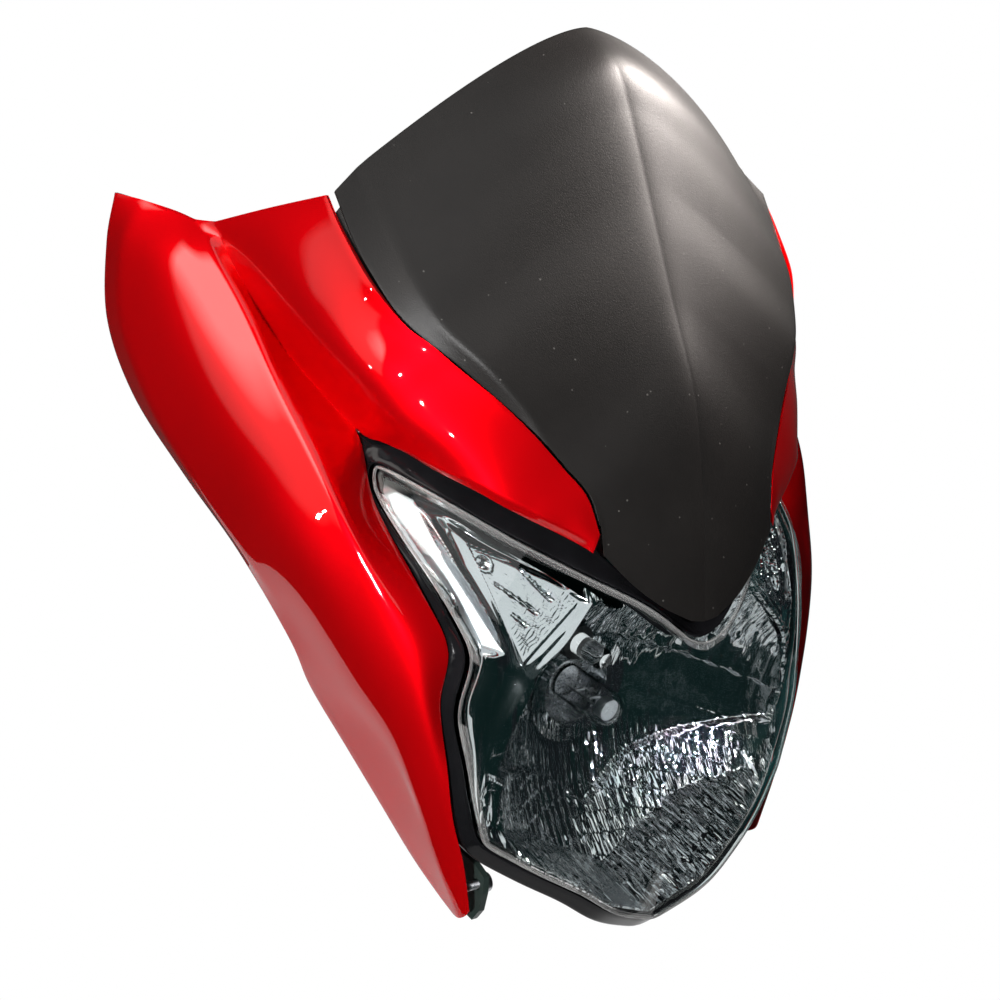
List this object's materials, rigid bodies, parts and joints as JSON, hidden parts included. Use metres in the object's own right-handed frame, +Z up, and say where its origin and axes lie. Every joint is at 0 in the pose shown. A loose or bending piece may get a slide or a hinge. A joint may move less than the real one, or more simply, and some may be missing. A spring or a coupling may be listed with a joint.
{
  "type": "headlight cowl",
  "caption": "Motorbike headlight cowl: a pointed visor and two curved side cowls round a shield-shaped clear lamp with a fluted reflector, a rear neck and a bolted mounting plate.",
  "frame": {"origin": "middle of the four mounting points, in the plane of the mounting collars' rear faces", "axes": "+X towards the rider's left, +Y back towards the rider, along the mounting bolts, +Z up"},
  "size_m": [0.33, 0.2666, 0.372],
  "materials": {
    "visor_black": "matte",
    "cowl_red": "gloss",
    "housing_black": "gloss",
    "lens_clear": "polished",
    "rubber_black": "matte",
    "reflector_chrome": "polished",
    "bezel_chrome": "polished",
    "bulb_clear": "polished",
    "filament_steel": "satin",
    "bulb_metal": "satin",
    "clip_steel": "satin",
    "socket_black": "matte",
    "stay_steel": "satin",
    "tip_stay_plastic": "satin",
    "collar_steel": "satin",
    "screw_steel": "satin"
  },
  "bodies": {
    "root": {"visor": "visor_black", "side_cowl_right": "cowl_red", "side_cowl_left": "cowl_red", "lamp_housing": "housing_black", "lens": "lens_clear", "lens_seal": "rubber_black", "reflector": "reflector_chrome", "ear_bezel_right": "bezel_chrome", "ear_bezel_left": "bezel_chrome", "bulb_glass": "bulb_clear", "bulb_filaments": "filament_steel", "bulb_base": "bulb_metal", "bulb_clip": "clip_steel", "dust_boot": "rubber_black", "pilot_bulb": "bulb_clear", "pilot_socket": "socket_black", "cowl_stay": "stay_steel", "tip_stay_right": "tip_stay_plastic", "tip_stay_left": "tip_stay_plastic", "mount_grommets": "rubber_black", "mount_collars": "collar_steel", "stay_screws": "screw_steel", "visor_screws": "screw_steel", "cowl_screws": "screw_steel", "tip_screws": "screw_steel"}
  },
  "joints": []
}
